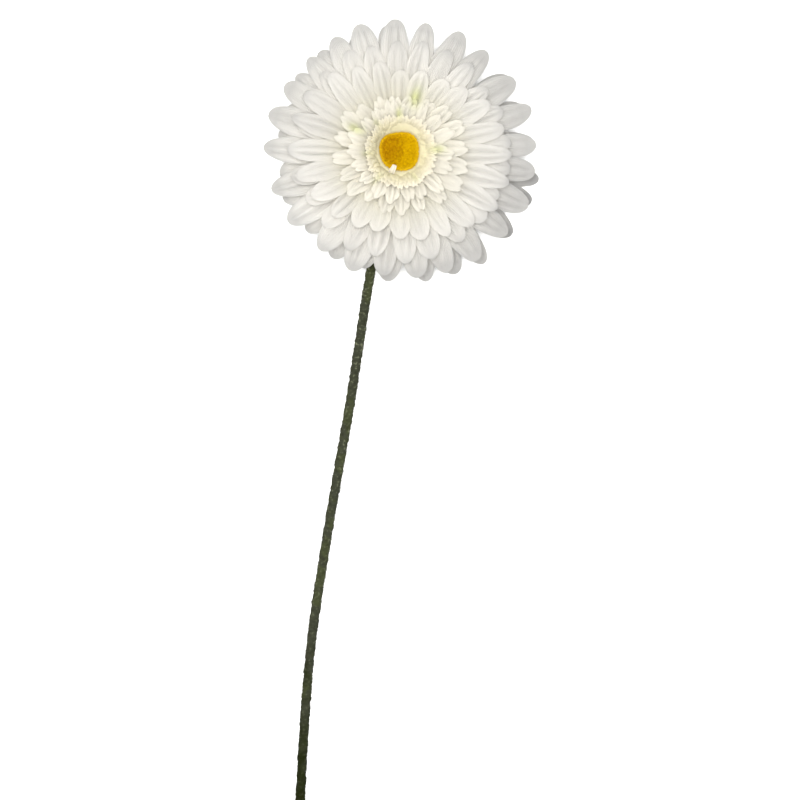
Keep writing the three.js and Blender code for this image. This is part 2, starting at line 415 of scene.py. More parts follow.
# Wall between the button and the fringe: its gap, width, rise and thickness, how much wider and taller its
# tallest side is, and the scallops and waves of its edge
WALL_GAP = 0.05
WALL_WIDTH = 3.3
WALL_RISE = 3.6
WALL_THICKNESS = 0.24
WALL_TALLEST = math.radians(60)
WALL_WIDER = 0.5
WALL_TALLER = 0.7
WALL_SCALLOPS = 26
SCALLOP_DEPTH = 0.5
WALL_WAVE = 0.22
WAVE_RISE = 0.1


def smoothstep(low, high, value):
    t = np.clip((value - low) / (high - low), 0, 1)
    return t * t * (3 - 2 * t)


def cubic(a, b, c, d, t):
    u = 1 - t
    return a * u**3 + 3 * b * u * u * t + 3 * c * u * t * t + d * t**3


def turns(count):
    """Angles evenly round a circle."""
    return np.arange(count) * 2 * math.pi / count


def polar(radius, angle, height):
    return np.stack(np.broadcast_arrays(radius * np.cos(angle), radius * np.sin(angle), height), axis=-1)


def placed(points):
    """Points of the head, in its own frame, moved to where the head stands."""
    return points @ HEAD_TURN.T + np.array(SHEET_CENTRE)


def resting_height(points, thickness):
    """Height along the head's axis at which a sheet of that thickness lies on the surface."""
    return (thickness / 2 - SHEET_CENTRE.z + points[..., 0] * AXIS.x + points[..., 1] * AXIS.y) / AXIS.z


def width_share(share, roundness):
    """Share of a petal's half width: a taper to the root and a round or slightly pointed tip."""
    body = ROOT_WIDTH + (1 - ROOT_WIDTH) * np.sin(np.clip(share / WIDEST_SHARE, 0, 1) * math.pi / 2)
    past = np.clip((share - WIDEST_SHARE) / (TIP_SHARE - WIDEST_SHARE), 0, 1)
    return body * np.sqrt(1 - past**roundness)


def petal_angle(layer, petal):
    even = 2 * math.pi * petal / layer.petals
    return even + math.radians(layer.turn(even, petal))


def petal_middle(layer, petal, share):
    """How far out and how high a petal's middle line is at shares of its length."""
    angle = petal_angle(layer, petal)
    out_one, lift_one, out_two, lift_two = layer.handles
    out = layer.root + (layer.reach(angle, petal) - layer.root) * cubic(0, out_one, out_two, 1, share)
    return out, layer.height + layer.lift(angle, petal) * cubic(0, lift_one, lift_two, 1, share)


def drawn_press(rng, depth, layer):
    """What the press and the wear give one petal, drawn at random."""
    draws = zip(PRESS_TRAITS.items(), rng.uniform(-1, 1, len(PRESS_TRAITS)))
    press = SimpleNamespace(**{name: middle + swing * draw for (name, (middle, swing)), draw in draws})
    press.depth *= depth
    press.bend *= layer.loose
    press.roundness *= layer.blunt
    press.width = 1 + press.widening * layer.loose
    return press


def crease_run(share):
    """How strongly the press shows along a petal: from past the root nearly to the tip."""
    return smoothstep(*CREASES_BEGIN, share) * (1 - smoothstep(*CREASES_END, share))


def creases(press, share, across):
    """How deep in a crease each point is: two lines, one on each side of the middle."""
    asides = [across - press.shift - side * press.spread for side in (-1, 1)]
    return crease_run(share) * sum(np.exp(-((aside / press.breadth) ** 2)) for aside in asides)


def relief(press, share, across, half):
    """Height that the press and the wear add to a petal's surface, in millimetres."""
    channel = press.depth * CHANNEL_DEPTH * np.exp(-(((across - press.shift) / CHANNEL_BREADTH) ** 2))
    crown = CROWN * half * (1 - across**2) * smoothstep(*CROWN_RUN, share)
    swing = np.sin(2 * math.pi * press.ruffle * share + press.phase)
    ruffle = RUFFLE * half * across * np.abs(across) * swing
    curl = press.curl * smoothstep(*CURL_RUN, share)
    return crown + ruffle + curl + crease_run(share) * channel - press.depth * creases(press, share, across)


def notches(press, share, across):
    """How far the tip is cut in between its lobes, from 0 to 1."""
    lobes = 0.5 + 0.5 * np.cos(2 * math.pi * NOTCHES * press.ruffle * across + press.phase)
    return smoothstep(*NOTCH_RUN, share) * lobes**2


def petal_grid(layer, petal, partings, press):
    """Points of one petal and its sector of the round middle, in rows from the hole to the tip."""
    angle = petal_angle(layer, petal)
    right_room = angle - partings[petal]
    left_room = partings[petal + 1] - angle
    across = np.linspace(-1, 1, layer.columns + 1)[None, :]
    rows = np.arange(layer.rows + 1)[:, None] / layer.rows
    share = np.sin(rows * math.pi / 2) ** ROW_CROWDING
    out, height = petal_middle(layer, petal, share)
    wave = np.sin(2 * math.pi * EDGE_WAVES * share + press.phase * (1 + np.sign(across) / 2))
    half = layer.half_width * press.width * (1 + EDGE_WAVE * wave) * width_share(share, press.roundness)
    fill = ROOT_FILL + (PETAL_FILL - ROOT_FILL) * smoothstep(*FILL_RUN, share)
    room = fill * out * np.sin(np.where(across < 0, right_room, left_room))
    aside = across * np.minimum(half, room) + press.bend * layer.pressed * share**3
    twist = PETAL_TWIST * vary(petal, layer.petals + layer.root) * share
    twist = twist + SHINGLE * smoothstep(*SHINGLE_RUN, share)
    dish = PETAL_DISH * (np.sqrt(aside**2 + DISH_ROUND) - math.sqrt(DISH_ROUND))
    cut = layer.notch * notches(press, share, aside / layer.half_width)
    pressing = layer.pressed * relief(press, share, across, half)
    height = height + aside * np.sin(twist) + dish + pressing - NOTCH_GROOVE * cut
    length = out - cut
    x = length * math.cos(angle) - aside * math.sin(angle)
    y = length * math.sin(angle) + aside * math.cos(angle)
    points = np.stack([x, y, height], axis=-1)
    spread = angle + np.where(across < 0, across * right_room, across * left_room)
    if layer.middle:
        on_root = polar(layer.root, spread, layer.height)
        points = on_root + (points - on_root) * smoothstep(0, ROOT_BLEND, share)[..., None]
    points[..., 2] = np.maximum(points[..., 2], resting_height(points, layer.thickness))
    fields = {
        "share": share,
        "across": across,
        # How deep in the creases each point is, for the painted shade there
        "crease": creases(press, share, across) * (0.5 + press.depth),
        "along_mm": out,
        "aside_mm": aside,
        "tone": press.tone,
    }
    fields = {name: np.broadcast_to(values, aside.shape) for name, values in fields.items()}
    if not layer.middle:
        return points, fields
    middle = [polar(radius, spread, layer.height) for radius in (HOLE_RADIUS, (HOLE_RADIUS + layer.root) / 2)]
    flat = {name: np.concatenate([values[:1], values[:1], values]) for name, values in fields.items()}
    return np.concatenate([*middle, points]), flat


def grid_faces(rows, columns):
    corner = np.arange(rows - 1)[:, None] * columns + np.arange(columns - 1)[None, :]
    faces = np.stack([corner, corner + 1, corner + columns + 1, corner + columns], axis=-1)
    return faces.reshape(-1, 4)


class Surface:
    """Points, faces and point fields gathered from many grids and loose bits."""

    def __init__(self):
        self.points = []
        self.faces = []
        self.fields = {}
        self.size = 0

    def add(self, points, faces, fields):
        self.points.append(points.reshape(-1, 3))
        self.faces.extend((faces + self.size).tolist())
        for name, values in fields.items():
            self.fields.setdefault(name, []).append(np.broadcast_to(values, points.shape[:-1]).reshape(-1))
        self.size += self.points[-1].shape[0]

    def add_grid(self, points, fields):
        self.add(points, grid_faces(*points.shape[:2]), fields)

    def mesh(self):
        points = np.concatenate(self.points) * MM
        mesh = bpy.data.meshes.new("Surface")
        mesh.from_pydata(points.tolist(), [], self.faces)
        for field, values in self.fields.items():
            attribute = mesh.attributes.new(field, "FLOAT", "POINT")
            attribute.data.foreach_set("value", np.concatenate(values).astype(np.float32))
        return mesh


def merge_doubles(mesh):
    work = bmesh.new()
    work.from_mesh(mesh)
    bmesh.ops.remove_doubles(work, verts=work.verts, dist=WELD)
    bmesh.ops.recalc_face_normals(work, faces=work.faces)
    work.to_mesh(mesh)
    work.free()


def thickened(mesh, thickness):
    """The same sheet as a closed body, with half of its thickness in millimetres on each side."""
    item = bpy.data.objects.new(mesh.name, mesh)
    bpy.context.scene.collection.objects.link(item)
    thicken = item.modifiers.new("Thickness", "SOLIDIFY")
    thicken.thickness = thickness * MM
    thicken.offset = 0
    solid = bpy.data.meshes.new_from_object(item.evaluated_get(bpy.context.evaluated_depsgraph_get()))
    bpy.data.objects.remove(item)
    bpy.data.meshes.remove(mesh)
    return solid


def rest_on_floor(mesh):
    """Lifts each point that has sunk below the surface up to it."""
    points = np.empty(3 * len(mesh.vertices), np.float32)
    mesh.vertices.foreach_get("co", points)
    points[2::3] = np.maximum(points[2::3], 0)
    mesh.vertices.foreach_set("co", points)
    mesh.update()


def piece(name, mesh, material):
    """An object of the flower that rides on its one body."""
    rest_on_floor(mesh)
    mesh.name = name
    item = bpy.data.objects.new(name, mesh)
    bpy.context.scene.collection.objects.link(item)
    mesh.shade_smooth()
    mesh.set_sharp_from_angle(angle=CRISP_ANGLE)
    mesh.materials.append(material)
    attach(item, "root")
    return item


def stain(points):
    """How strongly each point is stained, from 0 to 1."""
    total = 0
    for out, angle, width, strength in STAINS:
        aside = points[..., :2] - out * np.array([math.cos(angle), math.sin(angle)])
        along = aside @ (math.cos(angle), math.sin(angle)) / width / STAIN_STRETCH
        over = aside @ (-math.sin(angle), math.cos(angle)) / width
        total = total + strength * np.exp(-(along**2) - over**2)
    return np.clip(total, 0, 1)


def petal_sheet(layer, rng, sizes):
    """Mesh of one layer's petals, as thick as its cloth."""
    surface = Surface()
    angles = [petal_angle(layer, petal) for petal in range(layer.petals)]
    partings = [(angles[i] + (angles[i - 1] - 2 * math.pi * (i == 0))) / 2 for i in range(layer.petals)]
    partings.append(partings[0] + 2 * math.pi)
    for petal in layer.only or range(layer.petals):
        press = drawn_press(rng, sizes.crease_depth / MM, layer)
        points, fields = petal_grid(layer, petal, partings, press)
        fields["outward"] = np.maximum(layer.pale, np.hypot(points[..., 0], points[..., 1]) / HEAD_RADIUS)
        fields["blush"] = stain(points) * (layer.level >= LOWEST_STAINED)
        surface.add_grid(placed(points), fields)
    mesh = surface.mesh()
    merge_doubles(mesh)
    return thickened(mesh, layer.thickness)


def unit(vectors):
    return vectors / np.linalg.norm(vectors, axis=-1, keepdims=True)


def ring_around(aside, over, sides):
    """Directions out from each point of a line, evenly round it."""
    turn = turns(sides)[:, None]
    return np.cos(turn) * aside[:, None, :] + np.sin(turn) * over[:, None, :]


def spikes(surface, bases, directions, widths, lengths, sides, fields):
    """Adds closed little spikes: a regular base ring and a tip for each."""
    count = len(bases)
    directions = unit(directions)
    helper = np.where(np.abs(directions[:, 2:3]) < STEEP, (0, 0, 1), (1, 0, 0))
    across = unit(np.cross(directions, helper))
    ring = widths[:, None, None] / 2 * ring_around(across, np.cross(directions, across), sides)
    tips = bases + directions * lengths[:, None]
    points = np.concatenate([bases[:, None, :] + ring, tips[:, None, :]], axis=1)
    first = surface.size + np.arange(count)[:, None] * (sides + 1)
    for k in range(sides):
        surface.faces.extend((first + (k, (k + 1) % sides, sides)).tolist())
    surface.faces.extend((first + np.arange(sides)[::-1]).tolist())
    surface.points.append(points.reshape(-1, 3))
    for name, values in fields.items():
        surface.fields.setdefault(name, []).append(np.repeat(values, sides + 1))
    surface.size += count * (sides + 1)


class Value:
    """A number that changes over a surface. Arithmetic on it adds Math nodes."""

    def __init__(self, shader, socket):
        self.shader = shader
        self.socket = socket

    def __add__(self, other):
        return self.shader.math("ADD", self, other)

    def __sub__(self, other):
        return self.shader.math("SUBTRACT", self, other)

    def __rsub__(self, other):
        return self.shader.math("SUBTRACT", other, self)

    def __mul__(self, other):
        return self.shader.math("MULTIPLY", self, other)

    __radd__ = __add__
    __rmul__ = __mul__


class Shader:
    """A material's nodes, made from a node's type, its settings and its sockets' values."""

    def __init__(self, name):
        self.material = bpy.data.materials.new(name)
        self.material.use_nodes = True
        self.tree = self.material.node_tree
        self.tree.nodes.clear()

    def node(self, kind, settings, inputs, output=0):
        made = self.tree.nodes.new(kind)
        for name, value in settings.items():
            setattr(made, name, value)
        for key, value in inputs.items():
            if isinstance(value, Value):
                self.tree.links.new(value.socket, made.inputs[key])
            elif made.inputs[key].type == "RGBA" and len(value) == 3:
                made.inputs[key].default_value = (*value, 1)
            else:
                made.inputs[key].default_value = value
        return Value(self, made.outputs[output])

    def math(self, operation, first, second=0):
        return self.node("ShaderNodeMath", {"operation": operation}, {0: first, 1: second})

    def mix(self, share, first, second, blend="MIX"):
        settings = {"data_type": "RGBA", "blend_type": blend}
        return self.node("ShaderNodeMix", settings, {0: share, 6: first, 7: second}, 2)

    def field(self, name):
        return self.node("ShaderNodeAttribute", {"attribute_name": name}, {}, 2)

    def position(self):
        return self.node("ShaderNodeTexCoord", {}, {}, "Object")

    def noise(self, scale, detail=4, where=None):
        where = where or self.position()
        return self.node("ShaderNodeTexNoise", {}, {"Vector": where, "Scale": scale, "Detail": detail})

    def step(self, low, high, value):
        settings = {"interpolation_type": "SMOOTHSTEP"}
        return self.node("ShaderNodeMapRange", settings, {0: value, 1: low, 2: high, 3: 0.0, 4: 1.0})

    def bump(self, height, distance, strength=1.0):
        return self.node("ShaderNodeBump", {}, {"Height": height, "Distance": distance, "Strength": strength})

    def surface(self, base, translucency=0, glow=(1, 1, 1), **sockets):
        """Ends the material in a Principled surface, with light passing through it where it is thin cloth."""
        shader = self.node("ShaderNodeBsdfPrincipled", {}, {"Base Color": base, **sockets})
        if translucency:
            through = {"Color": glow, "Normal": sockets["Normal"]}
            thin = self.node("ShaderNodeBsdfTranslucent", {}, through)
            shader = self.node("ShaderNodeMixShader", {}, {0: translucency, 1: shader, 2: thin})
        output = self.tree.nodes.new("ShaderNodeOutputMaterial")
        self.tree.links.new(shader.socket, output.inputs["Surface"])
        return self.material


def weave(shader):
    """Height of the cloth's threads, from the millimetres along and aside a petal."""
    threads = 2 * math.pi / THREAD_PITCH
    warp = shader.math("SINE", shader.field("along_mm") * threads)
    weft = shader.math("SINE", shader.field("aside_mm") * threads)
    return warp * weft


def petal_fabric(name, inner, outer, glow, colours, blend=PETAL_BLEND):
    """Matt white cloth: cream near the middle, painted shade at tips, edges and creases, pressed veins and a
    fine weave.
    """
    shader = Shader(name)
    outward = shader.field("outward")
    colour = shader.mix(shader.step(*blend, outward), inner, outer)
    across = shader.field("across")
    tip = shader.step(0.82, 1, shader.field("share"))
    edge = shader.math("MAXIMUM", shader.step(0.5, 1, across * across), tip)
    # Painted shade: grey towards the outer ring and at each petal's tip and edges; the same mask lets less
    # light through the cloth there
    painted_tip_shade = shader.step(0.58, 0.92, outward) * 0.85 + edge * shader.step(0.6, 0.9, outward) * 0.4
    painted_tip_shade = shader.math("MINIMUM", painted_tip_shade, 1)
    colour = shader.mix(painted_tip_shade, colour, colours.petal_tip_shade)
    blotch = 0.5 + shader.noise(300, 2) * 0.5
    colour = shader.mix(shader.field("blush") * blotch, colour, colours.petal_blush)
    veins = shader.math("SINE", across * VEINS + shader.noise(260, 2) * 3)
    wear = shader.noise(700, 6)
    # Painted shade darkens the pressed creases; vein lines, noise and each petal's tone also vary it
    crease_shade_and_tone = 1 - shader.field("crease") * 0.16 - (veins + 1) * 0.018 - (wear - 0.5) * 0.09
    crease_shade_and_tone = crease_shade_and_tone + shader.field("tone") * 0.045
    grey = shader.node("ShaderNodeCombineColor", {}, {0: crease_shade_and_tone, 1: crease_shade_and_tone, 2: crease_shade_and_tone})
    colour = shader.mix(1.0, colour, grey, "MULTIPLY")
    height = weave(shader) * 0.35 + veins * 0.5 + wear * 1.2
    return shader.surface(
        colour,
        translucency=0.6 - painted_tip_shade * 0.2,
        glow=glow,
        Roughness=0.86 + wear * 0.12,
        Normal=shader.bump(height, 0.00012, 0.6),
        **{"Sheen Weight": 0.15, "Sheen Roughness": 0.5, "Specular IOR Level": 0.15},
    )


def button_flock(colours):
    """Dense yellow flock with darker orange patches, paler where the fibres end, and painted shade in its
    hollows.
    """
    shader = Shader("Button_flock")
    fleck = shader.field("fleck")
    # Darker orange patches from noise, more of them towards the button's left
    patches = shader.step(0.35, 0.7, shader.noise(900, 3) * 0.6 + shader.field("ripe") * 0.5)
    grains = shader.noise(3200, 3)
    # Painted shade: darker in the hollows between the flock's clumps
    painted_hollow_shade = 1 - shader.step(0.25, 0.65, shader.field("clump") + (grains - 0.5) * 0.4)
    colour = shader.mix(patches, colours.button_yellow, colours.button_orange)
    colour = shader.mix(painted_hollow_shade * 0.3, colour, colours.button_hollow_shade)
    colour = shader.mix(shader.step(0.55, 0.9, fleck), colour, colours.button_rim)
    return shader.surface(
        colour,
        Roughness=0.9 + grains * 0.08,
        Normal=shader.bump(grains, 0.0002),
        **{"Specular IOR Level": 0.05},
    )


def calyx_cloth(colours):
    """Green calyx: lighter ribs along each bract, darker between them, dull and slightly mottled."""
    shader = Shader("Calyx_cloth")
    rib = shader.field("rib")
    mottle = shader.noise(420, 5)
    colour = shader.mix(shader.step(0.2, 0.9, rib), colours.calyx_dark, colours.calyx_green)
    colour = shader.mix(shader.step(0.45, 0.75, mottle) * 0.5, colour, colours.calyx_dark)
    fibres = shader.math("SINE", shader.field("across") * 26 + mottle * 4)
    return shader.surface(
        colour,
        Roughness=0.66 + mottle * 0.2,
        Normal=shader.bump(fibres * 0.4 + mottle, 0.00018),
        **{"Sheen Weight": 0.15},
    )


def stem_wrap(colours):
    """Rough olive wrap, greener and darker to the cut end, with painted highlights as pale specks and painted
    shade in hollows.
    """
    shader = Shader("Stem_wrap")
    where = shader.position()
    specks = shader.noise(750, 5, where)
    patches = shader.noise(160, 3, where)
    green = shader.step(0.48, 0.6, shader.noise(110, 2, where))
    far = shader.field("far") + (patches - 0.5) * 0.4
    colour = shader.mix(green * 0.6, colours.stem_olive, colours.stem_green)
    colour = shader.mix(shader.step(0.49, 0.73, far), colour, colours.stem_moss)
    # Painted highlight: pale glints on the rough fibres, fewer towards the cut end
    pale = shader.step(0.54, 0.68, specks) * (0.8 - shader.field("far"))
    colour = shader.mix(pale, colour, colours.stem_glint)
    # Painted shade: darker in the hollows and at the laps of the wrap
    painted_hollow_shade = 1 - shader.step(0, 0.6, shader.field("raised"))
    colour = shader.mix(painted_hollow_shade * 0.6, colour, colours.stem_hollow_shade)
    return shader.surface(
        colour,
        Roughness=0.8 + specks * 0.18,
        Normal=shader.bump(specks + shader.field("raised"), 0.0003),
        **{"Specular IOR Level": 0.08},
    )


def cut_wire():
    """Cut end of the steel wire, with fine saw lines."""
    shader = Shader("Cut_wire")
    lines = shader.noise(2600, 4)
    colour = shader.mix(lines, linear(WIRE_DARK), linear(WIRE_BRIGHT))
    rough = 0.3 + lines * 0.3
    return shader.surface(colour, Roughness=rough, Normal=shader.bump(lines, 0.00008), Metallic=1.0)


def floor_paper(colours):
    """Pale matt paper with a faint grain."""
    shader = Shader("Floor_paper")
    grain = shader.noise(220, 4)
    colour = shader.mix(grain * 0.5, colours.floor, 0.97 * colours.floor)
    return shader.surface(colour, Roughness=0.9 + grain * 0.05, Normal=shader.bump(grain, 0.0001, 0.3))


def catmull_rom(points, steps):
    """Centripetal curve through points, with the same ends as the solid's."""
    points = np.array(points, float)
    ends = [2 * points[0] - points[1], *points, 2 * points[-1] - points[-2]]
    curve = []
    for k in range(len(points) - 1):
        p0, p1, p2, p3 = ends[k : k + 4]
        d0, d1, d2 = (np.linalg.norm(b - a) ** 0.5 for a, b in ((p0, p1), (p1, p2), (p2, p3)))
        t1 = ((p1 - p0) / d0 - (p2 - p0) / (d0 + d1) + (p2 - p1) / d1) * d1
        t2 = ((p2 - p1) / d1 - (p3 - p1) / (d1 + d2) + (p3 - p2) / d2) * d1
        for t in np.arange(steps) / steps:
            square = 3 * (p2 - p1) - 2 * t1 - t2
            cube = 2 * (p1 - p2) + t1 + t2
            curve.append(p1 + t1 * t + square * t**2 + cube * t**3)
    curve.append(points[-1])
    return np.array(curve)


def evenly(points, spacing):
    """The same line with its points a set distance apart."""
    run = np.concatenate([[0], np.cumsum(np.linalg.norm(np.diff(points, axis=0), axis=1))])
    marks = np.linspace(0, run[-1], int(round(run[-1] / spacing)) + 1)
    return np.stack([np.interp(marks, run, points[:, k]) for k in range(3)], axis=1)


def on_axis(height):
    return np.array(SHEET_CENTRE + AXIS * height)


def stem_line():
    """Middle line of the stem: along the surface, round the neck and up to the calyx."""
    route = [(HEAD_POINT[0] + x, HEAD_POINT[1] + y, STEM_RADIUS) for x, y in STEM_ROUTE]
    lying = catmull_rom(route, ROUTE_STEPS)
    along = unit(lying[-1] - lying[-2])
    t = np.linspace(0, 1, NECK_STEPS)[1:, None]
    handle = on_axis(SHOULDER - NECK_HANDLE)
    neck = cubic(lying[-1], lying[-1] + along * NECK_HANDLE, handle, on_axis(SHOULDER), t)
    return evenly(np.concatenate([lying, neck]), STEM_STEP)


def smoothed(values, kernel, edge):
    """Each row of values averaged with its neighbours, past the ends as the edge mode says."""
    reach = len(kernel)
    padded = np.pad(values, ((0, 0), (reach, reach)), edge)
    return np.stack([np.convolve(row, kernel, "same")[reach:-reach] for row in padded])


def soft_noise(rng, rows, columns, reach):
    """Random bumps over a tube, smoothed over a few steps along and round it."""
    kernel = np.hanning(reach + 2)[1:-1]
    kernel /= np.sqrt((kernel**2).sum())
    around_it = smoothed(rng.normal(size=(rows, columns)), kernel, "wrap")
    return smoothed(around_it.T, kernel, "edge").T


def tube_frames(line):
    """Unit vectors along, aside of and over each point of a line."""
    along = unit(np.gradient(line, axis=0))
    aside = np.cross((0, 0, 1), along[0])
    asides = []
    for tangent in along:
        aside = unit(aside - tangent * (aside @ tangent))
        asides.append(aside)
    asides = np.array(asides)
    return along, asides, np.cross(along, asides)


def wrapped_rod(surface, rng, line, radial, rough):
    """Adds the rod with its wound wrap and gives back its points."""
    rows = len(line)
    lumps = SOFT_SHARE * soft_noise(rng, rows, STEM_SIDES, LUMP_REACH)
    bumps = lumps + (1 - SOFT_SHARE) * rng.normal(size=(rows, STEM_SIDES))
    turn = np.arange(STEM_SIDES)[None, :] / STEM_SIDES
    winding = np.arange(rows)[:, None] * STEM_STEP / WRAP_PITCH + turn
    lap = 0.5 - (winding - np.floor(winding))
    held = np.clip(bumps, -LUMP_LIMIT, LUMP_LIMIT)
    radius = STEM_RADIUS + rough * (LUMP_SHARE * held + LAP_SHARE * lap)
    points = line[:, None, :] + radius[..., None] * radial
    points[..., 2] = np.maximum(points[..., 2], 0)
    fields = {
        "raised": np.clip(0.5 + 0.25 * bumps + 0.2 * lap, 0, 1),
        "far": 1 - np.arange(rows)[:, None] / (rows - 1),
    }
    tube_grid(surface, points, fields)
    return points


def stem_fibres(surface, rng, points, radial, along, sizes):
    """Adds short stiff fibres that stand on the wrap, most of them slanted along it."""
    count = sizes.stem_fibres
    rows = rng.integers(2, len(points) - 2, count)
    sides = rng.integers(0, STEM_SIDES, count)
    out = radial[rows, sides]
    slant = FIBRE_SLANT * rng.normal(size=(count, 1)) * along[rows]
    direction = out + slant + FIBRE_STRAY * rng.normal(size=(count, 3))
    widths = rng.uniform(*FIBRE_WIDTHS, count)
    lengths = sizes.fibre_length / MM * rng.uniform(*FIBRE_LENGTHS, count)
    fields = {"raised": rng.uniform(0.4, 1, count), "far": 1 - rows / len(points)}
    bases = points[rows, sides] - out * FIBRE_ROOT
    spikes(surface, bases, direction, widths, lengths, FIBRE_SIDES, fields)


def rod(surface, ends, radius, sides, fields):
    """Adds a plain round rod between two points."""
    ends = np.array(ends)
    along = ends[1:] - ends[:1]
    aside = unit(np.cross(along, (1, 0, 0)))
    ring = radius * ring_around(aside, unit(np.cross(along, aside)), sides)
    tube_grid(surface, ends[:, None, :] + ring, fields)


def band_faces(rings, sides, looped=False):
    """Faces of a tube of rings, open at both ends or looped back from its last ring to its first."""
    ring = np.arange(rings if looped else rings - 1)[:, None]
    side = np.arange(sides)[None, :]
    here = ring * sides
    after = (ring + 1) % rings * sides
    turn = (side + 1) % sides
    faces = np.stack([here + side, here + turn, after + turn, after + side], axis=-1)
    return faces.reshape(-1, 4)


def tube_grid(surface, points, fields):
    """Adds a closed tube from rings of points, with both ends filled."""
    rings, sides = points.shape[:2]
    start = surface.size
    surface.add(points, band_faces(rings, sides), fields)
    surface.faces.append([start + k for k in range(sides)][::-1])
    surface.faces.append([start + (rings - 1) * sides + k for k in range(sides)])


def pad_rim(angle):
    """Radius of the button's rim in a direction."""
    swells = sum(size * np.cos(waves * (angle - towards)) for waves, size, towards in PAD_SWELLS)
    return PAD_RADIUS * (1 + swells)


def clumps(points):
    """Height of the flock's clumps at points of the button, from 0 to 1."""
    flat = points[..., :2].reshape(-1, 2) / CLUMP_SIZE
    heights = np.array([noise.fractal(Vector((x, y, 0)), *CLUMP_FRACTAL) for x, y in flat])
    return np.clip(0.5 + 0.6 * heights.reshape(points.shape[:-1]), 0, 1)


def orange_side_share(share, angle):
    """How orange the button is: most on the left of its middle."""
    return 0.5 + 0.5 * np.cos(angle - ORANGE_SIDE_DIRECTION) * share - 0.25 * share


def button_dome(surface, sides=96, rings=40):
    """Adds the button's body: a low dome with a dimple, a swelling rim and a clumpy surface."""
    outs, heights = np.array(PAD_PROFILE).T
    steps = np.linspace(0, len(outs) - 1, rings)
    share = np.interp(steps, np.arange(len(outs)), outs)[:, None]
    height = np.interp(steps, np.arange(len(outs)), heights)[:, None]
    angle = turns(sides)
    points = polar(share * pad_rim(angle), angle, PAD_FOOT + PAD_THICKNESS * height)
    clump = clumps(points)
    points[..., 2] += CLUMP_HEIGHT * (clump - 0.5) * np.minimum(1, 2 * height)
    fields = {"fleck": share**6, "ripe": orange_side_share(share, angle), "clump": clump}
    tube_grid(surface, placed(points), fields)


def button_fibres(surface, rng, sizes):
    """Adds the flock: short fibres all over the dome, leaning out at its rim."""
    count = sizes.flock_fibres
    order = np.arange(count)
    share = np.sqrt((order + 0.5) / count)
    angle = order * FLOCK_TURN + rng.uniform(-0.1, 0.1, count)
    outs, heights = np.array(PAD_PROFILE[1:]).T
    height = PAD_FOOT + PAD_THICKNESS * np.interp(share, outs[::-1], heights[::-1])
    base = polar(share * pad_rim(angle), angle, height)
    clump = clumps(base)
    base[:, 2] += CLUMP_HEIGHT * (clump - 0.5) - FIBRE_ROOT
    lean = LEAN_LEAST + np.clip((share - LEAN_FROM) * LEAN_RATE, 0, LEAN_MOST)
    direction = polar(lean, angle, 1) + rng.normal(size=(count, 3)) * FLOCK_STRAY
    widths = rng.uniform(*FLOCK_WIDTHS, count)
    lengths = sizes.flock_length / MM * rng.uniform(*FLOCK_LENGTHS, count) * (1 + RIM_GROWTH * share**6)
    fields = {
        "fleck": np.clip(share**3 + rng.uniform(-0.2, 0.2, count), 0, 1.2),
        "ripe": orange_side_share(share, angle),
        "clump": np.clip(clump + rng.uniform(-0.15, 0.25, count), 0, 1),
    }
    spikes(surface, placed(base), direction @ HEAD_TURN.T, widths, lengths, FLOCK_SIDES, fields)


def cup_wall(surface, sides=208, rings=16):
    """Adds the smooth low wall that follows the button's rim and ends in a scalloped edge."""
    angle = turns(sides)
    share = np.linspace(0, 1, rings)[:, None]
    taller = np.cos(angle - WALL_TALLEST)
    waves = np.sin(7 * angle + 1) + 0.6 * np.sin(11 * angle)
    scallop = np.abs(np.sin(angle * WALL_SCALLOPS / 2 + 0.5 * waves)) * (1 + 0.4 * np.sin(5 * angle + 2))
    width = WALL_WIDTH + WALL_WIDER * taller + (SCALLOP_DEPTH * scallop + WALL_WAVE * waves) * share**4
    out = pad_rim(angle) + WALL_GAP + width * cubic(0, 0, 0.35, 1, share)
    rise = (WALL_RISE + WALL_TALLER * taller) * cubic(0, 0.7, 0.72, 1, share) + WAVE_RISE * waves * share**2
    points = polar(out, angle, len(LAYERS) * SHEET_PITCH + rise)
    fields = {
        "share": share,
        "across": angle * WALL_SCALLOPS / math.pi,
        "crease": 0.0,
        "along_mm": out,
        "aside_mm": angle * PAD_RADIUS,
        "tone": 0.0,
        "outward": out / HEAD_RADIUS,
        "blush": stain(points),
    }
    surface.add(placed(points), band_faces(rings, sides), fields)


def calyx_wall(level):
    """Radius of the calyx at a share of its height."""
    return CALYX_FOOT + (CALYX_RIM - CALYX_FOOT) * np.clip(level, 0, 1) ** CALYX_FLARE


def calyx_cup(sides=72, rings=16):
    """Mesh of the cup's smooth body, with its bore."""
    level = np.linspace(0, 1, rings)
    out = np.concatenate([[HOLE_RADIUS], calyx_wall(level) - BRACT_THICKNESS / 2, [HOLE_RADIUS]])
    height = CALYX_BOTTOM + CALYX_HEIGHT * np.concatenate([[0], level, [1]])
    points = placed(polar(out[:, None], turns(sides), height[:, None]))
    surface = Surface()
    surface.add(points, band_faces(len(points), sides, looped=True), {"rib": 0.1, "across": 0.0})
    return surface.mesh()


